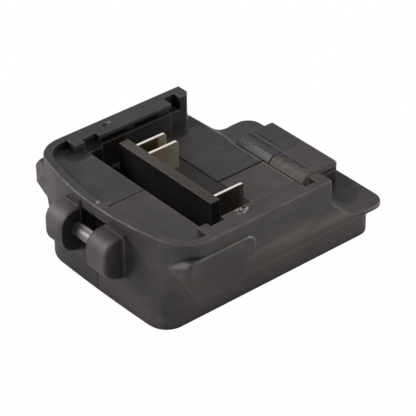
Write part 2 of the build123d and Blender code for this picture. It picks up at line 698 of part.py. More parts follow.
def board_screws():
    """Round-headed screws that hold the board to its pillars."""
    screws = Part()
    for x, y in board_screw_places():
        shank = Pos(x, y, BOARD_TOP - BOARD_SCREW_LENGTH / 2) * Cylinder(
            BOARD_SCREW_RADIUS, BOARD_SCREW_LENGTH,
        )
        head = Pos(x, y, BOARD_TOP + BOARD_SCREW_HEAD_HEIGHT / 2) * Cylinder(
            BOARD_SCREW_HEAD, BOARD_SCREW_HEAD_HEIGHT,
        )
        screws = screws + (shank + head)
    return screws


def power_inductor():
    """Shielded inductor with rounded upright edges."""
    solid = Pos(INDUCTOR_X, 0, BOARD_TOP + INDUCTOR_HEIGHT / 2) * Box(
        INDUCTOR_SIZE, INDUCTOR_SIZE, INDUCTOR_HEIGHT,
    )
    return fillet(solid.edges().filter_by(Axis.Z), INDUCTOR_ROUND)


def capacitors():
    """Two upright capacitors, one each side of the inductor."""
    can = Pos(CAPACITOR_X, CAPACITOR_Y, BOARD_TOP + CAPACITOR_HEIGHT / 2) * Cylinder(
        CAPACITOR_RADIUS, CAPACITOR_HEIGHT,
    )
    can = chamfer(can.edges().group_by(Axis.Z)[-1], CAPACITOR_CHAMFER)
    return both_sides(can)


def power_transistors():
    """Two flat transistors under the heat sink."""
    middle_z = BOARD_TOP + TRANSISTOR_HEIGHT / 2
    one = Pos(TRANSISTOR_X, TRANSISTOR_Y, middle_z) * Box(
        TRANSISTOR_WIDTH, TRANSISTOR_LENGTH, TRANSISTOR_HEIGHT,
    )
    return both_sides(one)


def heat_sink():
    """Plate with fins that lies on both transistors."""
    base_z = BOARD_TOP + TRANSISTOR_HEIGHT
    half_x = TRANSISTOR_WIDTH / 2 + SINK_MARGIN
    half_y = TRANSISTOR_Y + TRANSISTOR_LENGTH / 2 + SINK_MARGIN
    sink = block(
        TRANSISTOR_X - half_x, TRANSISTOR_X + half_x, -half_y, half_y, base_z, base_z + SINK_THICKNESS,
    )
    pitch = 2 * (half_y - SINK_FIN_WIDTH / 2) / (SINK_FINS - 1)
    for index in range(SINK_FINS):
        y = -half_y + index * pitch
        sink = sink + block(
            TRANSISTOR_X - half_x, TRANSISTOR_X + half_x, y, y + SINK_FIN_WIDTH,
            base_z + SINK_THICKNESS, base_z + SINK_THICKNESS + SINK_FIN_HEIGHT,
        )
    return sink


def controller_chip():
    """Flat square chip."""
    return Pos(CHIP_X, 0, BOARD_TOP + CHIP_HEIGHT / 2) * Box(CHIP_SIZE, CHIP_SIZE, CHIP_HEIGHT)


def fuse():
    """Tube fuse across the board with a metal cap at each end."""
    z = BOARD_TOP + FUSE_CAP_RADIUS
    half = FUSE_LENGTH / 2
    tube = rod(FUSE_X, z, FUSE_RADIUS, -half, half)
    cap = rod(FUSE_X, z, FUSE_CAP_RADIUS, half - FUSE_CAP_LENGTH, half)
    return tube + both_sides(cap)


# Output sockets, button, switch and light

def socket_shell(y):
    """Square metal tube of one output socket."""
    outer = block(
        SOCKET_FRONT_X, SOCKET_REAR_X, y - SOCKET_WIDTH / 2, y + SOCKET_WIDTH / 2,
        OUTLET_Z - SOCKET_HEIGHT / 2, OUTLET_Z + SOCKET_HEIGHT / 2,
    )
    half_y = SOCKET_WIDTH / 2 - SOCKET_WALL
    half_z = SOCKET_HEIGHT / 2 - SOCKET_WALL
    inner = block(
        SOCKET_FRONT_X - BEYOND, SOCKET_REAR_X + BEYOND, y - half_y, y + half_y,
        OUTLET_Z - half_z, OUTLET_Z + half_z,
    )
    return outer - inner


def socket_tongues():
    """Insulating back and contact tongue inside each socket."""
    half_y = SOCKET_WIDTH / 2 - SOCKET_WALL
    half_z = SOCKET_HEIGHT / 2 - SOCKET_WALL
    back = block(
        SOCKET_FRONT_X, SOCKET_FRONT_X + SOCKET_BACK, SOCKET_Y - half_y, SOCKET_Y + half_y,
        OUTLET_Z - half_z, OUTLET_Z + half_z,
    )
    tongue = block(
        SOCKET_FRONT_X + SOCKET_BACK, SOCKET_REAR_X - TONGUE_SETBACK, SOCKET_Y - TONGUE_WIDTH / 2,
        SOCKET_Y + TONGUE_WIDTH / 2, OUTLET_Z - TONGUE_HEIGHT / 2, OUTLET_Z + TONGUE_HEIGHT / 2,
    )
    return both_sides(back + tongue)


def power_button():
    """Long button with a flange that keeps it behind the rear wall."""
    front_x = BASE_REAR_X + BUTTON_PROUD
    flange_x = BUTTON_BACK_X + BUTTON_FLANGE_THICKNESS
    cap = stadium(BUTTON_WIDTH, BUTTON_HEIGHT, BUTTON_BACK_X, front_x)
    cap = chamfer(cap.faces().sort_by(Axis.X)[-1].edges(), BUTTON_CHAMFER)
    flange = stadium(
        BUTTON_WIDTH + 2 * BUTTON_FLANGE, BUTTON_HEIGHT + 2 * BUTTON_FLANGE, BUTTON_BACK_X, flange_x,
    )
    return cap + flange


def plunger_rod(radius, x0, x1):
    """A round solid along X at the height of the switch's plunger."""
    z = BOARD_TOP + SWITCH_HEIGHT / 2
    return Pos((x0 + x1) / 2, 0, z) * Rot(0, 90, 0) * Cylinder(radius, x1 - x0)


def switch_body():
    """Side-acting switch with a pocket for its plunger."""
    body = block(
        SWITCH_REAR_X - SWITCH_DEPTH, SWITCH_REAR_X, -SWITCH_WIDTH / 2, SWITCH_WIDTH / 2,
        BOARD_TOP, BOARD_TOP + SWITCH_HEIGHT,
    )
    pocket_end = SWITCH_REAR_X - PLUNGER_INSET - BUTTON_TRAVEL - PLUNGER_GAP
    return body - plunger_rod(PLUNGER_RADIUS + PLUNGER_GAP, pocket_end, SWITCH_REAR_X + BEYOND)


def switch_plunger():
    """Plunger that the button pushes into the switch."""
    return plunger_rod(PLUNGER_RADIUS, SWITCH_REAR_X - PLUNGER_INSET, BUTTON_BACK_X)


def status_light():
    """Clear light guide, flush with the rear wall."""
    middle_x = BASE_REAR_X - LIGHT_LENGTH / 2
    return Pos(middle_x, LIGHT_Y, OUTLET_Z) * Rot(0, 90, 0) * Cylinder(LIGHT_RADIUS, LIGHT_LENGTH)


def housing_screws():
    """Screws along Y that pull the two half shells together."""
    screws = Part()
    for x, z in SCREW_PLACES:
        shank = rod(x, z, SCREW_RADIUS, -SCREW_REACH, SCREW_HEAD_Y)
        head = rod(x, z, SCREW_HEAD_RADIUS, SCREW_HEAD_Y, SCREW_HEAD_Y + SCREW_HEAD_HEIGHT)
        screws = screws + (shank + head)
    return screws


def all_pieces():
    """Every separate piece by name."""
    whole = shell()
    blades = {name: blade(y) for name, y in BLADE_PLACES.items()}
    pieces = {
        "housing_near": half_shell(whole, -1),
        "housing_far": half_shell(whole, 1),
        "terminal_block": terminal_block(blades.values()),
        "strap_pin": strap_pin(),
        "circuit_board": circuit_board(),
        "board_screws": board_screws(),
        "housing_screws": housing_screws(),
        "power_inductor": power_inductor(),
        "capacitors": capacitors(),
        "power_transistors": power_transistors(),
        "heat_sink": heat_sink(),
        "controller_chip": controller_chip(),
        "fuse": fuse(),
        "socket_shell_near": socket_shell(-SOCKET_Y),
        "socket_shell_far": socket_shell(SOCKET_Y),
        "socket_tongues": socket_tongues(),
        "power_button": power_button(),
        "switch_body": switch_body(),
        "switch_plunger": switch_plunger(),
        "status_light": status_light(),
    }
    pieces.update(blades)
    return pieces


os.makedirs("parts", exist_ok=True)
for name, piece in all_pieces().items():
    export_step(Pos(-MIDDLE_X, 0, 0) * piece, f"parts/{name}.step")
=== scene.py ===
import json
from functools import cached_property

import bpy
from mathutils import Matrix, Vector


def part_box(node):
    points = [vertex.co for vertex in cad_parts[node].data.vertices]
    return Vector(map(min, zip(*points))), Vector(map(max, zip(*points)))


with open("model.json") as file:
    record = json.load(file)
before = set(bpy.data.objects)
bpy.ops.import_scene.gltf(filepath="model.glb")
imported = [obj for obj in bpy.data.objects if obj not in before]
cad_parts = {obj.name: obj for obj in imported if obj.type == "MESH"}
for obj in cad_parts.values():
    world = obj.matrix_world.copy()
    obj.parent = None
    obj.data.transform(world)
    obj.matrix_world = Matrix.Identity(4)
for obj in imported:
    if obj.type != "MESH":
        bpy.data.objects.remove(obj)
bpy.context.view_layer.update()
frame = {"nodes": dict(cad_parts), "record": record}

MM = 0.001                   # a millimetre in metres
MIDDLE_X = 2.25              # the row frame's origin, in millimetres from the middle of the rails

# Places on the shell in millimetres: x from the middle of the rails, y from the parting plane, z from the bottom
PIN_X = -42.0                # axis of the strap pin
LUG_ROOT_X = -40.7           # pale line round each lug where it leaves the front wall, a painted highlight
SLOT_FRONT_X = -20.2         # front edge of the deep slot
BLOCK_GAP_X = 9.4            # middle of the gap behind the terminal block
REAR_DECK_END_X = 28.5       # rear edge of the rear deck
RIDGE_FACE_X = 32.4          # middle of the ridge's leaning face
TROUGH_X = 35.8              # middle of the trough behind it
TROUGH_REAR_X = 37.3         # small step up to the plate
LUG_INNER_Y = 6.0
LUG_OUTER_Y = 15.5
PLATE_HALF_WIDTH = 16.1      # of the ridge, its trough and the plate
SLOT_HALF_WIDTH = 28.6
GRIP_OUTER_Y = 38.3
EAR_TOP = 11.0
REAR_DECK_TOP = 19.6
FRONT_DECK_TOP = 29.65
RIM_TOP = 32.7

# Colours of the shell, linear
NEAR_TONES = ((0.0375, 0.0328, 0.0345), (0.0550, 0.0475, 0.0490))
FAR_TONES = ((0.0285, 0.0265, 0.0310), (0.0420, 0.0385, 0.0440))
RUBBED = (0.092, 0.084, 0.078)
# The next two tones are light and shade painted along the near side
SIDE_LIGHT_TONE = (0.110, 0.093, 0.077)
SIDE_SHADE_TONE = (0.028, 0.030, 0.032)
GRAIN_TOP = (0.090, 0.081, 0.082)
SILL_TONE = (0.105, 0.090, 0.080)
HOLLOW_SHADE_TONE = (0.008, 0.0075, 0.007)
LIT_TONE = (0.098, 0.088, 0.088)
SHADED_TONE = (0.0075, 0.0070, 0.0070)
RIDGE_STREAK_LIGHT = (0.140, 0.114, 0.094)
TROUGH_SHADE = (0.010, 0.009, 0.009)
STEP_EDGE = (0.14, 0.13, 0.125)
WORN_LIT_TONE = (0.19, 0.172, 0.150)
GAP_BLACK = (0.004, 0.004, 0.004)
TORN_CHIP_GLINT = (0.40, 0.37, 0.32)
BLACK, WHITE = (0.0, 0.0, 0.0), (1.0, 1.0, 1.0)

# Ovals on the shell in millimetres: centre, three half lengths, strength
LIT_OVALS = (
    ((-45.5, 12.5, 26.0), (6.0, 7.0, 8.0), 0.95),        # far lug's nose
    ((-48.0, -10.5, 21.0), (4.0, 6.0, 9.0), 0.40),       # near lug's front
    ((-46.0, -14.0, 24.5), (3.5, 3.0, 6.0), 0.75),       # near lug's outer edge
    ((-35.3, -34.0, 24.5), (4.0, 4.5, 5.0), 0.45),       # near grip's cut-off front end
    ((22.0, -9.0, 19.6), (11.0, 14.0, 3.0), 0.15),       # rear deck, near half
    ((34.0, -11.5, 19.6), (3.0, 6.5, 1.2), 0.75),        # ridge's crest, near half
    ((34.8, 10.5, 19.7), (1.8, 7.5, 1.0), 0.45),         # ridge's crest, far half
    ((20.0, 23.0, 19.6), (11.0, 11.0, 3.0), 0.28),       # rear deck, far half
    ((-30.5, 31.5, 29.6), (6.0, 8.0, 2.0), 0.25),        # front deck's far corner
    ((-37.5, 28.5, 26.0), (5.0, 8.0, 9.0), 0.50),        # far front corner, high
    ((-39.0, -18.0, 11.0), (4.0, 8.0, 6.0), 0.25),       # front wall below the near lug
    ((-38.0, -28.3, 3.4), (3.0, 1.6, 3.0), 0.45),        # near front corner of the foot
)
# Ovals of painted shade on the shell
SHADE_OVALS = (
    ((49.0, -15.0, 11.0), (6.0, 6.0, 2.0), 0.45),        # ear behind the plate
    ((44.0, -21.0, 11.0), (7.0, 8.0, 2.0), 0.30),        # ear beside the plate
    ((-35.0, -32.0, 9.5), (5.0, 5.0, 8.0), 0.20),        # near front corner, low
    ((-23.0, -38.3, 18.0), (15.0, 3.0, 10.0), 0.24),     # near grip
    ((37.0, 8.0, 19.0), (2.4, 11.0, 3.0), 0.36),         # trough, far half
    ((18.0, 30.5, 20.5), (5.0, 3.0, 6.0), 0.60),         # foot of the far rail's wall
    ((26.0, 33.0, 19.6), (6.0, 3.0, 3.0), 0.25),         # rear deck behind the far rail
    ((-24.0, 29.5, 29.6), (5.5, 4.2, 2.0), 0.60),        # front deck before the far rail
    ((-39.5, 10.0, 4.5), (3.0, 11.0, 6.0), 0.20),        # foot below the far lug
)
GRIP_TIPS = (                                            # their edges are softer
    ((-35.5, -33.0, 20.0), (8.0, 8.0, 12.0), 1.0),
    ((-35.5, 33.0, 20.0), (8.0, 8.0, 12.0), 1.0),
)
# Torn gate marks and crumbs of flash, painted pale as glints
SCARS = (
    ((-7.7, -31.6, 32.7), (3.0, 2.1, 1.0), 1.0),         # gate mark on the near rail
    ((-7.2, 34.3, 32.7), (1.4, 0.9, 1.0), 1.0),          # gate mark on the far rail
    ((-39.9, 0.6, 32.6), (1.0, 1.2, 1.0), 0.7),          # crumbs on the rim, above the pin
    ((-38.2, 0.3, 32.7), (1.3, 1.0, 1.0), 0.8),
    ((-33.6, 1.7, 29.6), (1.6, 0.9, 1.0), 0.6),          # crumbs on the front deck
)
DINTS = (
    ((-9.4, 34.0, 32.7), (1.1, 0.8, 1.0), 1.0),          # beside the far gate mark
    ((-6.4, -32.6, 32.7), (1.1, 0.9, 1.0), 1.0),         # beside the near gate mark
    ((-39.8, 6.6, 29.6), (3.0, 1.2, 1.6), 1.0),          # above the far lug
)
TORN_OVAL = ((-7.2, -31.9, 32.7), (3.2, 2.2, 1.0))       # broken ground of the near gate mark


def in_millimetres(box):
    """A box of the row frame in millimetres, with x from the middle of the rails."""
    return [(x / MM + MIDDLE_X, y / MM, z / MM) for x, y, z in box]


# Node helpers

class Shader:
    """A material whose nodes are added and joined one at a time."""

    def __init__(self, name):
        self.material = bpy.data.materials.new(name)
        self.material.use_nodes = True
        self.tree = self.material.node_tree
        self.tree.nodes.clear()
        self.place = self.tree.nodes.new("ShaderNodeTexCoord").outputs["Object"]

    @cached_property
    def rails(self):
        """The place in millimetres, with x from the middle of the rails."""
        mapping = self.node(
            "ShaderNodeMapping", Vector=self.place, Location=(MIDDLE_X, 0.0, 0.0), Scale=(1 / MM, 1 / MM, 1 / MM),
        )
        return mapping.outputs[0]

    @cached_property
    def axes(self):
        """The three coordinates of the place in millimetres."""
        return tuple(self.node("ShaderNodeSeparateXYZ", i0=self.rails).outputs)

    def node(self, kind, settings=None, **inputs):
        """Adds a node; its inputs go by name or by number, as i0."""
        added = self.tree.nodes.new(kind)
        for key, value in (settings or {}).items():
            setattr(added, key, value)
        for key, value in inputs.items():
            numbered = key[1:].isdigit()
            self.feed(added.inputs[int(key[1:]) if numbered else key.replace("_", " ")], value)
        return added

    def feed(self, socket, value):
        """Links an output to the socket, or sets its value; a colour is three numbers."""
        if isinstance(value, bpy.types.NodeSocket):
            self.tree.links.new(value, socket)
        elif socket.type == "RGBA":
            socket.default_value = (*value, 1.0)
        else:
            socket.default_value = value

    def math(self, operation, a, b=0.0):
        """One arithmetic step."""
        return self.node("ShaderNodeMath", {"operation": operation}, i0=a, i1=b).outputs[0]

    def product(self, *factors):
        """All the factors multiplied together."""
        total = factors[0]
        for factor in factors[1:]:
            total = self.math("MULTIPLY", total, factor)
        return total

    def largest(self, *values):
        """The largest of the values."""
        top = values[0]
        for value in values[1:]:
            top = self.math("MAXIMUM", top, value)
        return top

    def ramp(self, value, start, end, at_start=0.0, at_end=1.0):
        """A smooth passage from one value to another, between start and end."""
        step = self.node(
            "ShaderNodeMapRange", {"interpolation_type": "SMOOTHSTEP"},
            Value=value, From_Min=start, From_Max=end, To_Min=at_start, To_Max=at_end,
        )
        return step.outputs[0]

    def within(self, value, low, high, blur):
        """1 between two values, blurred at both ends."""
        return self.product(self.ramp(value, low - blur, low + blur), self.ramp(value, high + blur, high - blur))

    def near(self, value, place, half_width):
        """1 close to a plane across one axis, 0 away from it."""
        offset = self.math("ABSOLUTE", self.math("SUBTRACT", value, place))
        return self.ramp(offset, half_width, half_width * 0.4)

    def in_box(self, lows, highs, blurs):
        """1 inside a box in millimetres, blurred at its faces."""
        return self.product(*(
            self.within(value, low, high, blur)
            for value, low, high, blur in zip(self.axes, lows, highs, blurs)
        ))

    def in_oval(self, centre, reach):
        """1 inside an oval in millimetres, falling to 0 at its edge."""
        offset = self.node("ShaderNodeVectorMath", {"operation": "SUBTRACT"}, i0=self.rails, i1=centre)
        scaled = self.node("ShaderNodeVectorMath", {"operation": "DIVIDE"}, i0=offset.outputs[0], i1=reach)
        distance = self.node("ShaderNodeVectorMath", {"operation": "LENGTH"}, i0=scaled.outputs[0])
        return self.ramp(distance.outputs["Value"], 1.0, 0.6)

    def ovals(self, table):
        """The strongest at each place of the ovals in a table."""
        return self.largest(*(
            self.product(self.in_oval(centre, reach), strength) for centre, reach, strength in table
        ))

    def noise(self, scale, detail, roughness, stretch=None):
        """Noise between 0 and 1, with its scale per metre; stretch scales the axes, for streaks."""
        place = self.place
        if stretch is not None:
            place = self.node("ShaderNodeMapping", Vector=place, Scale=stretch).outputs[0]
        texture = self.node(
            "ShaderNodeTexNoise", Vector=place, Scale=scale, Detail=detail, Roughness=roughness,
        )
        return texture.outputs["Fac"]

    def mix(self, factor, a, b):
        """A colour between two colours."""
        mixer = self.node("ShaderNodeMix", {"data_type": "RGBA"})
        for number, value in ((0, factor), (6, a), (7, b)):
            self.feed(mixer.inputs[number], value)
        return mixer.outputs[2]

    def over(self, tone, colour, *factors):
        """The tone covered by a colour, as strongly as the factors' product."""
        return self.mix(self.product(*factors), tone, colour)

    def occlusion(self, distance, inside=False):
        """1 on open faces, falling towards 0 in hollows, or near outer edges if taken from inside."""
        settings = {"inside": inside, "samples": 6}
        return self.node("ShaderNodeAmbientOcclusion", settings, Distance=distance).outputs["AO"]

    def outer_edges(self, distance):
        """About 1 along outer edges and 0 on flat faces."""
        return self.ramp(self.occlusion(distance, inside=True), 0.98, 0.55)

    def hollows(self):
        """1 in narrow hollows and 0 on open faces; it masks the shade painted in hollows."""
        return self.ramp(self.occlusion(6.0 * MM), 0.80, 0.30)

    def rounded(self, radius):
        """Normals with edges rounded by the radius."""
        return self.node("ShaderNodeBevel", {"samples": 4}, Radius=radius).outputs[0]

    def bump(self, height, distance, strength=1.0, normal=None):
        """A normal moved by a height."""
        bumped = self.node("ShaderNodeBump", Strength=strength, Distance=distance, Height=height)
        if normal is not None:
            self.feed(bumped.inputs["Normal"], normal)
        return bumped.outputs[0]

    def finish(self, **inputs):
        """Ends the material with one surface shader and returns it."""
        self.output(self.node("ShaderNodeBsdfPrincipled", **inputs).outputs[0])
        return self.material

    def output(self, surface):
        """Makes an output the material's surface."""
        ending = self.tree.nodes.new("ShaderNodeOutputMaterial")
        self.tree.links.new(surface, ending.inputs["Surface"])


# Material of the half shells

def shell_material():
    """Charcoal moulded plastic: fine grain, a parting line, worn edges and mould marks, with painted light and
    shade: lit and shaded bands on the near side, lit and shaded places, shade in hollows, and highlights on edges,
    streaks and chips.
    """
    shader = Shader("moulded_shell")
    mottle = shader.noise(90.0, 4.0, 0.6)
    streak = shader.noise(150.0, 3.0, 0.55, (0.3, 1.0, 1.0))
    grain = shader.noise(2200.0, 3.0, 0.7)
    tone = shell_ground(shader, mottle, streak, grain)

    # The ridge's upright front catches light in the hook recess
    sill = shader.in_box((30.7, -PLATE_HALF_WIDTH, 14.0), (31.6, 0.0, 18.2), (0.1, 0.1, 0.2))
    # Painted shade: darkening in narrow hollows, kept off the ridge's upright front
    hollow_shade = shader.product(shader.hollows(), shader.ramp(sill, 0.0, 1.0, 1.0, 0.0))
    tone = shader.over(tone, SILL_TONE, sill, 0.8)
    tone = shader.over(tone, HOLLOW_SHADE_TONE, hollow_shade, 0.7)
    tone = shader.over(tone, LIT_TONE, shader.ovals(LIT_OVALS), shader.ramp(mottle, 0.25, 0.6, 0.6, 1.0))
    shade = shaded_places(shader)
    tone = shader.over(tone, SHADED_TONE, shade)

    comb, painted_shade, step = ridge_marks(shader)
    # Painted highlight: paler streaks on the near half of the ridge's leaning face
    tone = shader.over(tone, RIDGE_STREAK_LIGHT, comb)
    # Painted shade in spots in the trough
    tone = shader.over(tone, TROUGH_SHADE, painted_shade, 0.75)
    tone = shader.over(tone, STEP_EDGE, step, 0.6)
    # Rubbed edges, with highlights painted on the upward-facing chamfers and borders
    tone = shader.over(tone, WORN_LIT_TONE, worn_and_lit_edges(shader), shader.ramp(streak, 0.2, 0.6, 0.45, 1.0))

    chips, dints = mould_marks(shader)
    black = shader.largest(parting_line(shader), shader.product(dints, 0.85))
    tone = shader.over(tone, GAP_BLACK, black)
    # Torn plastic and flash, painted pale as glints
    tone = shader.over(tone, TORN_CHIP_GLINT, chips, 0.85)

    height = shader.math("SUBTRACT", shader.product(grain, 0.12), black)
    height = shader.math("ADD", height, shader.product(chips, 2.0))
    radius = shader.ramp(shader.ovals(GRIP_TIPS), 0.0, 1.0, 0.6 * MM, 2.4 * MM)
    # Gloss is darkened in the parting line and dints, in the painted shade and hollow shade, and on the ridge's
    # painted streaks
    dull = shader.largest(
        black, shade, shader.product(hollow_shade, 0.5), shader.ramp(comb, 0.0, 0.05, 0.0, 0.6),
    )
    return shader.finish(
        Base_Color=tone, Normal=shader.bump(height, 0.12 * MM, 1.0, shader.rounded(radius)),
        Specular_Tint=shader.mix(dull, WHITE, BLACK), Roughness=shader.ramp(mottle, 0.2, 0.8, 0.46, 0.58),
    )


def shell_ground(shader, mottle, streak, grain):
    """The plastic's own tone, paler and warmer on the near half, with rubbed streaks and grain, and a painted lit
    band and a painted shaded band along the near side.
    """
    half = shader.ramp(shader.axes[1], -0.4, 0.4)
    dark, pale = (shader.mix(half, near, far) for near, far in zip(NEAR_TONES, FAR_TONES))
    tone = shader.mix(shader.ramp(mottle, 0.34, 0.66), dark, pale)
    rubbed = shader.noise(520.0, 3.0, 0.6, (0.12, 1.0, 1.0))
    tone = shader.over(tone, RUBBED, shader.ramp(rubbed, 0.50, 0.72), 0.30)
    # Painted light: a paler band along the near side, broken into cloudy streaks
    tone = shader.over(tone, SIDE_LIGHT_TONE, side_light_band(shader, streak))
    # Painted shade: a cooler, darker band close under the rim on the near side, broken into streaks
    tone = shader.over(tone, SIDE_SHADE_TONE, side_shade_band(shader, streak), 0.7)
    return shader.over(tone, GRAIN_TOP, shader.ramp(grain, 0.44, 0.72, 0.0, 0.42))


def side_light_band(shader, streak):
    """Paler band painted along the near side as light, above the foot and below the rails, broken into cloudy
    streaks and weaker towards the front.
    """
    x, y, z = shader.axes
    slope = shader.product(shader.ramp(y, -30.8, -32.2), shader.ramp(z, 9.8, 9.0))
    outside = shader.largest(shader.ramp(y, -33.0, -35.0), slope)
    return shader.product(
        shader.ramp(z, 6.0, 8.8), shader.ramp(z, 25.0, 17.0), outside, shader.ramp(streak, 0.30, 0.60),
        shader.ramp(x, -12.0, 4.0, 0.35, 1.0),
    )


def side_shade_band(shader, streak):
    """Cooler, darker band painted along the near side as shade, close under the rim, broken into streaks."""
    y, z = shader.axes[1:]
    return shader.product(
        shader.ramp(z, 17.0, 23.0), shader.ramp(z, 32.5, 30.0), shader.ramp(y, -35.5, -37.0),
        shader.ramp(streak, 0.62, 0.38),
    )


def at_rear_deck(shader):
    """1 from just below the rear deck's height upwards."""
    return shader.ramp(shader.axes[2], REAR_DECK_TOP - 0.6, REAR_DECK_TOP - 0.2)


def shaded_places(shader):
    """Painted shade in the gaps and on the walls that lie in shade, and ovals of painted shade on open faces."""
    x, y, z = shader.axes
    side = shader.math("ABSOLUTE", y)
    between_lugs = shader.product(
        shader.within(y, -LUG_INNER_Y - 0.4, LUG_INNER_Y + 0.4, 0.15), shader.ramp(x, -38.2, -38.6),
        shader.within(z, 14.3, 28.9, 0.3), 0.60,
    )
    near_lug_side = shader.product(
        shader.ramp(y, -LUG_OUTER_Y + 0.8, -LUG_OUTER_Y + 0.1),
        shader.ramp(y, -LUG_OUTER_Y - 2.0, -LUG_OUTER_Y - 1.0),
        shader.within(x, -48.5, -41.4, 0.3), shader.within(z, 13.0, 28.5, 1.2), 0.6,
    )
    rail_walls = shader.product(
        shader.within(side, SLOT_HALF_WIDTH - 0.1, 35.2, 0.2), shader.ramp(z, 32.0, 31.4),
        shader.ramp(x, SLOT_FRONT_X - 0.2, SLOT_FRONT_X), shader.ramp(x, 8.0, 20.0, 0.60, 0.35),
        shader.ramp(x, 32.0, 27.0), shader.ramp(z, REAR_DECK_TOP, REAR_DECK_TOP + 0.8),
    )
    slot_end = shader.product(
        shader.in_box(
            (SLOT_FRONT_X + 1.7, SLOT_HALF_WIDTH - 0.3, 15.0), (-4.0, SLOT_HALF_WIDTH + 1.8, 31.2), (0.4, 0.1, 0.3),
        ),
        0.9,
    )
    block_gap = shader.product(
        shader.near(x, BLOCK_GAP_X, 0.8), at_rear_deck(shader),
        shader.within(y, -SLOT_HALF_WIDTH + 0.1, SLOT_HALF_WIDTH + 0.4, 0.3),
    )
    plate_side = shader.product(
        shader.within(side, PLATE_HALF_WIDTH - 0.6, PLATE_HALF_WIDTH + 0.3, 0.2),
        shader.within(z, 11.2, 16.5, 1.0),
        shader.ramp(x, 38.0, 43.0, 0.0, 0.65),
    )
    return shader.largest(
        between_lugs, near_lug_side, rail_walls, slot_end, block_gap, plate_side, shader.ovals(SHADE_OVALS),
    )


def ridge_marks(shader):
    """Moulding streaks on the ridge's near half, painted paler as a highlight on that face; painted shade in spots
    in the trough; and the bright step behind it.
    """
    x, y, z = shader.axes
    across = shader.ramp(shader.math("ABSOLUTE", y), PLATE_HALF_WIDTH + 0.2, PLATE_HALF_WIDTH - 0.1)
    lines = shader.noise(420.0, 3.0, 0.65, (0.25, 1.0, 0.25))
    comb = shader.product(
        across, shader.near(x, RIDGE_FACE_X, 2.4), shader.ramp(z, 17.2, 17.6), shader.ramp(y, 0.4, -0.4),
        shader.ramp(lines, 0.38, 0.66, 0.26, 0.68),
    )
    spots = shader.noise(420.0, 3.0, 0.6, (0.6, 0.45, 1.0))
    painted_shade = shader.product(
        across, shader.near(x, TROUGH_X, 1.6), at_rear_deck(shader), shader.ramp(spots, 0.46, 0.56),
        shader.ramp(y, 0.4, -0.4, 0.6, 1.0),
    )
    step = shader.product(
        across, shader.near(x, TROUGH_REAR_X - 0.1, 0.5), at_rear_deck(shader),
        shader.ramp(y, -4.0, 1.0, 0.40, 1.0),
    )
    return comb, painted_shade, step


def worn_and_lit_edges(shader):
    """Paler outer edges, partly rubbed and partly painted highlights: rim and ear chamfers lit where they face
    upward, the grips' borders lit towards the top and rear, a painted highlight at the lugs' roots, and the rear
    deck's end.
    """
    x, y, z = shader.axes
    side = shader.math("ABSOLUTE", y)
    broken = shader.ramp(shader.noise(300.0, 3.0, 0.7), 0.40, 0.60, 0.35, 1.0)
    facing = shader.node("ShaderNodeNewGeometry").outputs["True Normal"]
    upward = shader.node("ShaderNodeSeparateXYZ", i0=facing).outputs[2]
    slant = shader.product(shader.ramp(upward, 0.35, 0.50), shader.ramp(upward, 0.95, 0.85))
    rim = shader.product(slant, shader.near(z, RIM_TOP - 0.18, 0.4), broken, 0.5)
    ear = shader.product(slant, shader.near(z, EAR_TOP - 0.15, 0.4), 0.5)
    grip = shader.product(
        shader.near(side, GRIP_OUTER_Y - 0.32, 0.28), shader.ramp(z, 12.0, 20.0, 0.25, 1.0),
        shader.ramp(x, -34.0, -29.5, 0.25, 1.0), broken, 0.8,
    )
    root = shader.product(
        shader.near(x, LUG_ROOT_X, 0.28), shader.ramp(side, LUG_OUTER_Y + 1.1, LUG_OUTER_Y + 0.7),
        shader.ramp(z, 21.5, 27.5, 0.25, 1.0),
    )
    deck = shader.product(
        shader.near(x, REAR_DECK_END_X - 0.2, 0.6), shader.ramp(side, 17.2, 16.8), at_rear_deck(shader), 0.6,
    )
    edges = shader.product(shader.outer_edges(0.5 * MM), 0.3)
    return shader.largest(edges, rim, ear, root, grip, deck)


def parting_line(shader):
    """The thin dark line where the half shells meet, wider on the rear deck and faint on the plate."""
    x, y, z = shader.axes
    rear = shader.within(x, 9.0, REAR_DECK_END_X, 0.2)
    return shader.product(
        shader.largest(shader.near(y, 0.0, 0.30), shader.product(shader.near(y, 0.0, 0.55), rear)),
        shader.ramp(z, FRONT_DECK_TOP + 0.4, FRONT_DECK_TOP),
        shader.ramp(x, TROUGH_REAR_X - 0.8, TROUGH_REAR_X + 0.2, 1.0, 0.35),
    )


def mould_marks(shader):
    """Chips: torn gate marks on both rails and crumbs of flash on the rim, painted pale as glints; and dark dints.
    """
    lumps = shader.noise(1300.0, 2.0, 0.7)
    chips = shader.product(shader.ovals(SCARS), shader.ramp(lumps, 0.49, 0.55))
    torn = shader.product(shader.in_oval(*TORN_OVAL), shader.ramp(lumps, 0.50, 0.44))
    return chips, shader.largest(shader.ovals(DINTS), torn)


# Materials of the other pieces

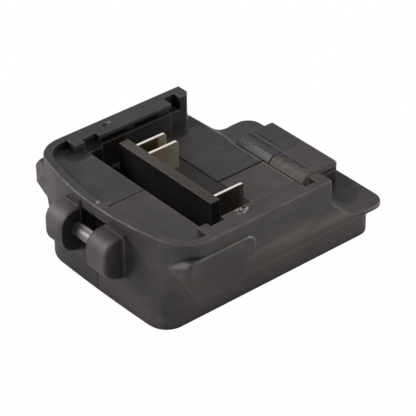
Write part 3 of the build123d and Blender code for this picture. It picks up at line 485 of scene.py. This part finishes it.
def block_material():
    """Black plastic of the terminal block, smoother, scuffed on top of the bar; its top is painted lighter towards
    the far end, its front face painted lighter as light, and shade is painted in the gap at its rear.
    """
    shader = Shader("terminal_plastic")
    x, y, z = shader.axes
    low, high = in_millimetres(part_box("terminal_block"))
    mottle = shader.noise(180.0, 4.0, 0.6)
    grain = shader.noise(5200.0, 2.0, 0.6)
    scuff_and_highlight = shader.noise(900.0, 3.0, 0.6, (1.0, 0.08, 1.0))
    tone = shader.mix(mottle, (0.007, 0.0065, 0.0065), (0.011, 0.010, 0.010))

    # Painted light: the bar's top, lighter towards the far end
    top = shader.near(z, high[2], 0.5)
    tone = shader.over(
        tone, shader.mix(shader.ramp(y, -12.0, 22.0), (0.040, 0.034, 0.031), (0.074, 0.063, 0.056)), top,
    )
    tone = shader.over(tone, (0.085, 0.074, 0.064), shader.ramp(scuff_and_highlight, 0.48, 0.7), top, 0.5)
    tone = shader.over(tone, (0.14, 0.13, 0.12), shader.outer_edges(0.4 * MM), 0.35)

    # Painted light on the front face, stronger at the far end and lower down
    front = shader.product(shader.ramp(x, low[0] + 3.0, low[0] + 2.0), shader.ramp(top, 0.5, 0.0))
    tone = shader.over(
        tone, (0.030, 0.028, 0.028), front, shader.ramp(y, -14.0, 26.0, 0.25, 0.9),
        shader.ramp(z, 29.0, 20.0, 0.35, 1.0),
    )
    plate = shader.ramp(z, 21.5, 20.5)
    tone = shader.over(
        tone, (0.030, 0.027, 0.025), plate, shader.ramp(y, -22.0, 4.0),
        shader.ramp(scuff_and_highlight, 0.3, 0.7, 0.5, 1.0), 0.8,
    )
    # Painted shade in the gap at the rear of the block
    rear_gap_shade = shader.product(shader.near(x, high[0], 0.5), plate)
    tone = shader.over(tone, (0.002, 0.002, 0.002), rear_gap_shade)

    # Gloss is darkened in the painted shade at the rear and in hollows
    dull = shader.largest(rear_gap_shade, shader.product(shader.hollows(), 0.6))
    return shader.finish(
        Base_Color=tone, Normal=shader.bump(grain, 0.01 * MM, 0.7, shader.rounded(0.3 * MM)),
        Specular_Tint=shader.mix(dull, (0.6, 0.6, 0.6), BLACK),
        Roughness=shader.ramp(scuff_and_highlight, 0.2, 0.8, 0.38, 0.5),
    )


def contact_material():
    """Nickelled blades with cut edges painted bright as highlights and a rear end painted paler as light; a dark
    brown reflection is painted on the far one and a darker reflection on the near one.
    """
    shader = Shader("nickel_contact")
    x, y, z = shader.axes
    low, high = in_millimetres(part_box("blade_minus"))
    lines = shader.noise(2600.0, 2.0, 0.5, (0.12, 1.0, 1.0))
    stain = shader.noise(90.0, 2.0, 0.4, (1.0, 1.0, 0.5))
    tone = shader.mix(shader.ramp(stain, 0.35, 0.65), (0.33, 0.265, 0.205), (0.43, 0.365, 0.300))
    # Painted light: paler towards the rear end
    tone = shader.over(tone, (0.66, 0.61, 0.55), shader.ramp(x, low[0] + 4.0, high[0], 0.0, 0.45))

    # Painted reflection: dark brown over the far blade, except near its rear end
    border = shader.math("ADD", x, shader.product(stain, 3.0))
    far_dark_reflection = shader.product(shader.ramp(border, high[0] - 1.0, high[0] - 2.4), shader.ramp(y, 18.0, 19.0))
    tone = shader.over(tone, (0.060, 0.036, 0.022), far_dark_reflection, 0.85)
    # Painted reflection: darker over the near blade, paler at its rear end
    near_dark_reflection = shader.mix(shader.ramp(stain, 0.35, 0.7), (0.066, 0.056, 0.046), (0.125, 0.112, 0.095))
    near_dark_reflection = shader.over(near_dark_reflection, (0.24, 0.22, 0.20), shader.ramp(x, high[0] - 2.6, high[0] - 0.4))
    tone = shader.over(tone, near_dark_reflection, shader.ramp(y, 1.0, -1.0))

    # Painted highlights on the cut edges, top and rear
    upright = shader.product(shader.near(x, high[0], 0.30), shader.ramp(z, 25.0, high[2], 0.12, 0.5))
    cut_edge_highlight = shader.largest(shader.near(z, high[2], 0.26), upright)
    tone = shader.over(tone, (0.95, 0.89, 0.81), cut_edge_highlight)
    return shader.finish(
        Base_Color=tone, Normal=shader.bump(lines, 0.002 * MM, 0.5, shader.rounded(0.12 * MM)),
        Metallic=shader.ramp(cut_edge_highlight, 0.0, 1.0, 0.75, 0.25), Roughness=shader.ramp(lines, 0.2, 0.8, 0.29, 0.35),
    )


def metal_material(name, dark, light, metallic, roughness, stretch, marks=None):
    """Metal with fine lines along one axis and a little staining; marks adds others to the tone."""
    shader = Shader(name)
    stain = shader.noise(260.0, 4.0, 0.6)
    lines = shader.noise(2600.0, 2.0, 0.5, stretch)
    tone = shader.mix(stain, dark, light)
    if marks is not None:
        tone = marks(shader, tone)
    return shader.finish(
        Base_Color=tone, Metallic=metallic,
        Normal=shader.bump(lines, 0.002 * MM, 0.4, shader.rounded(0.12 * MM)),
        Roughness=shader.math("ADD", shader.product(lines, 0.06), roughness),
    )


def pin_marks(shader, tone):
    """Painted light and shade on the strap pin: a darker front, a bright line painted on top as a highlight, and
    painted shade at its far end.
    """
    x, y, z = shader.axes
    # Painted shade on the pin's front
    front_shade = shader.within(x, PIN_X - 2.5, PIN_X - 0.7, 0.3)
    tone = shader.over(tone, (0.150, 0.138, 0.132), front_shade, 0.6)
    # Painted highlight: a bright line along the top of the pin
    scuff_and_highlight = shader.product(
        shader.near(x, PIN_X + 0.15, 0.6), shader.ramp(z, 23.6, 23.8), shader.within(y, -6.0, 5.0, 1.0),
    )
    tone = shader.over(tone, (0.95, 0.92, 0.87), scuff_and_highlight, 0.9)
    # Painted shade at the pin's far end, beside the far lug
    painted_shade = shader.product(
        shader.within(x, PIN_X - 2.4, PIN_X + 2.4, 0.1), shader.ramp(z, 19.0, 19.5), shader.within(y, 3.4, 6.6, 1.8),
    )
    return shader.over(tone, (0.040, 0.036, 0.034), painted_shade, 0.8)


def board_material():
    """Green solder mask with paler tracks under it and fibre texture."""
    shader = Shader("circuit_board_mask")
    tracks = shader.node("ShaderNodeTexBrick", Vector=shader.place, Scale=180.0, Mortar_Size=0.03)
    tracks = tracks.outputs["Fac"]
    weave = shader.noise(3000.0, 2.0, 0.5)
    tone = shader.mix(tracks, (0.012, 0.10, 0.045), (0.03, 0.19, 0.09))
    tone = shader.over(tone, (0.03, 0.16, 0.08), weave, 0.25)
    return shader.finish(Base_Color=tone, Roughness=0.35, Normal=shader.bump(tracks, 0.03 * MM))


def plain_plastic(name, dark, light, roughness):
    """Small plastic or ceramic part with grain and slightly paler edges."""
    shader = Shader(name)
    mottle = shader.noise(300.0, 4.0, 0.6)
    grain = shader.noise(4000.0, 2.0, 0.6)
    tone = shader.mix(mottle, dark, light)
    tone = shader.over(tone, (0.3, 0.3, 0.3), shader.outer_edges(0.3 * MM), 0.3)
    return shader.finish(
        Base_Color=tone, Normal=shader.bump(grain, 0.01 * MM, 0.8, shader.rounded(0.2 * MM)),
        Roughness=shader.ramp(mottle, 0.2, 0.8, roughness - 0.05, roughness + 0.05),
    )


def fuse_material():
    """Glass tube with metal caps, told apart along the tube."""
    shader = Shader("fuse_tube")
    cap = shader.ramp(shader.math("ABSOLUTE", shader.axes[1]), 5.8, 6.2)
    lines = shader.noise(2200.0, 2.0, 0.5, (1.0, 0.1, 1.0))
    tone = shader.mix(cap, (0.62, 0.60, 0.55), (0.72, 0.70, 0.66))
    return shader.finish(
        Base_Color=tone, Metallic=cap, Roughness=shader.ramp(lines, 0.2, 0.8, 0.15, 0.3),
        Normal=shader.bump(lines, 0.005 * MM),
    )


def light_material():
    """Clear light guide, faintly milky."""
    shader = Shader("light_guide")
    cloud = shader.noise(900.0, 3.0, 0.5)
    tone = shader.mix(cloud, (0.70, 0.74, 0.72), (0.82, 0.85, 0.83))
    return shader.finish(
        Base_Color=tone, Roughness=shader.ramp(cloud, 0.2, 0.8, 0.12, 0.25),
        Transmission_Weight=0.5, Normal=shader.bump(cloud, 0.01 * MM),
    )


def slot_materials():
    """The material of each of the record's slots."""
    return {
        "shell": shell_material(),
        "block": block_material(),
        "contact": contact_material(),
        "steel": metal_material(
            "satin_steel", (0.27, 0.26, 0.255), (0.35, 0.34, 0.33), 0.50, 0.45, (1.0, 0.08, 1.0), pin_marks,
        ),
        "board": board_material(),
        "ferrite": plain_plastic("ferrite", (0.06, 0.06, 0.07), (0.10, 0.10, 0.11), 0.6),
        "can": metal_material(
            "aluminium_can", (0.62, 0.62, 0.64), (0.74, 0.74, 0.76), 0.9, 0.34, (1.0, 1.0, 0.1),
        ),
        "chip": plain_plastic("chip_case", (0.02, 0.02, 0.02), (0.035, 0.035, 0.035), 0.5),
        "fuse": fuse_material(),
        "tongue": plain_plastic("tongue_plastic", (0.03, 0.03, 0.035), (0.05, 0.05, 0.055), 0.5),
        "button": plain_plastic("button_plastic", (0.03, 0.03, 0.031), (0.045, 0.045, 0.047), 0.45),
        "light": light_material(),
    }


# The pieces

SHARP_ANGLE = 0.45           # faces that meet at more than this, in radians, keep a sharp edge


def dress_nodes():
    """Gives every CAD node the material of its slot and smooth curved faces."""
    materials = slot_materials()
    for part in frame["record"]["subparts"]:
        node = frame["nodes"][part["node"]]
        node.data.materials.clear()
        node.data.materials.append(materials[part["material_slot"]])
        soften(node)


def soften(obj):
    """Smooth shading on curved faces, sharp where faces meet at an angle."""
    obj.data.shade_smooth()
    modifier = obj.modifiers.new("flat_faces", "WEIGHTED_NORMAL")
    modifier.keep_sharp = True
    obj.data.set_sharp_from_angle(angle=SHARP_ANGLE)


# Stage, light and camera

FLOOR_REACH = 3.0            # half the floor's width, in metres
FLOOR_GLOW = 0.985           # share of plain white in what the camera sees of the floor
WORLD_STRENGTH = 0.06
GLOSS_STRENGTH = 0.22        # of the surroundings that gloss sees
LAMP_SIZE = 0.5              # width of each square lamp, in metres
LAMPS = (                    # name, place in metres, watts, colour
    ("above", (0.0, 0.0, 0.95), 2.2, (1.0, 1.0, 0.97)),
    ("far_left", (-0.62, 0.68, 0.55), 8.2, (1.0, 0.97, 0.98)),
    ("right", (0.9, -0.25, 0.4), 6.6, (1.0, 0.98, 0.96)),
    ("near_right", (0.35, -0.9, 0.3), 1.3, (1.0, 0.97, 0.93)),
    ("far_right", (0.62, 0.68, 0.6), 0.35, (0.97, 0.97, 1.0)),
    ("front", (-0.5, -0.62, 0.55), 0.5, (1.0, 0.98, 0.98)),
)
CAMERA_PLACE = (-0.366156, -0.442810, 0.403372)
CAMERA_RIGHT = (0.7649, -0.6441, -0.0071)
CAMERA_UP = (0.3666, 0.4263, 0.8270)
LENS = 188.14                # focal length and sensor width, in millimetres
SENSOR = 36.0


def white_floor():
    """Wide white floor that the camera sees as white with a faint shadow."""
    mesh = bpy.data.meshes.new("floor")
    corners = [(x * FLOOR_REACH, y * FLOOR_REACH, 0) for x, y in ((-1, -1), (1, -1), (1, 1), (-1, 1))]
    mesh.from_pydata(corners, [], [(0, 1, 2, 3)])
    floor = bpy.data.objects.new("floor", mesh)
    bpy.context.scene.collection.objects.link(floor)
    shader = Shader("floor_paper")
    paper = shader.mix(shader.noise(40.0, 3.0, 0.5), (0.86, 0.85, 0.84), (0.88, 0.87, 0.86))
    diffuse = shader.node("ShaderNodeBsdfDiffuse", Color=paper)
    glow = shader.node("ShaderNodeEmission", Color=WHITE, Strength=1.0)
    seen = shader.node("ShaderNodeLightPath").outputs["Is Camera Ray"]
    blend = shader.node(
        "ShaderNodeMixShader", i0=shader.product(seen, FLOOR_GLOW), i1=diffuse.outputs[0], i2=glow.outputs[0],
    )
    shader.output(blend.outputs[0])
    mesh.materials.append(shader.material)


def white_world():
    """Dim surroundings that the camera sees as white and gloss sees as pale grey."""
    world = bpy.data.worlds.new("white_world")
    bpy.context.scene.world = world
    world.use_nodes = True
    tree = world.node_tree
    tree.nodes.clear()
    ray = tree.nodes.new("ShaderNodeLightPath")
    light = surroundings(tree, WORLD_STRENGTH)
    for outlet, strength in (("Is Glossy Ray", GLOSS_STRENGTH), ("Is Camera Ray", 1.0)):
        blend = tree.nodes.new("ShaderNodeMixShader")
        tree.links.new(ray.outputs[outlet], blend.inputs[0])
        tree.links.new(light, blend.inputs[1])
        tree.links.new(surroundings(tree, strength), blend.inputs[2])
        light = blend.outputs[0]
    ending = tree.nodes.new("ShaderNodeOutputWorld")
    tree.links.new(light, ending.inputs["Surface"])


def surroundings(tree, strength):
    """Plain light from all sides."""
    background = tree.nodes.new("ShaderNodeBackground")
    background.inputs["Strength"].default_value = strength
    return background.outputs[0]


def soft_lamps():
    """Two strong soft lamps at the far left and the right, and weaker ones above and around."""
    for name, place, watts, colour in LAMPS:
        lamp = bpy.data.lights.new(name, "AREA")
        lamp.size = LAMP_SIZE
        lamp.energy = watts
        lamp.color = colour
        holder = bpy.data.objects.new(name, lamp)
        holder.location = place
        holder.rotation_euler = (-Vector(place)).to_track_quat("-Z", "Y").to_euler()
        bpy.context.scene.collection.objects.link(holder)


def camera():
    """The photograph's camera, fitted to the rails, decks and stepped plate."""
    lens = bpy.data.cameras.new("camera")
    lens.sensor_width = SENSOR
    lens.lens = LENS
    lens.clip_start = 0.01
    right = Vector(CAMERA_RIGHT).normalized()
    back = right.cross(Vector(CAMERA_UP)).normalized()
    turn = Matrix((right, back.cross(right), back)).transposed()
    holder = bpy.data.objects.new("camera", lens)
    holder.matrix_world = Matrix.Translation(CAMERA_PLACE) @ turn.to_4x4()
    bpy.context.scene.collection.objects.link(holder)
    bpy.context.scene.camera = holder


bpy.context.scene.view_settings.view_transform = "Standard"
camera()
white_floor()
white_world()
soft_lamps()
dress_nodes()
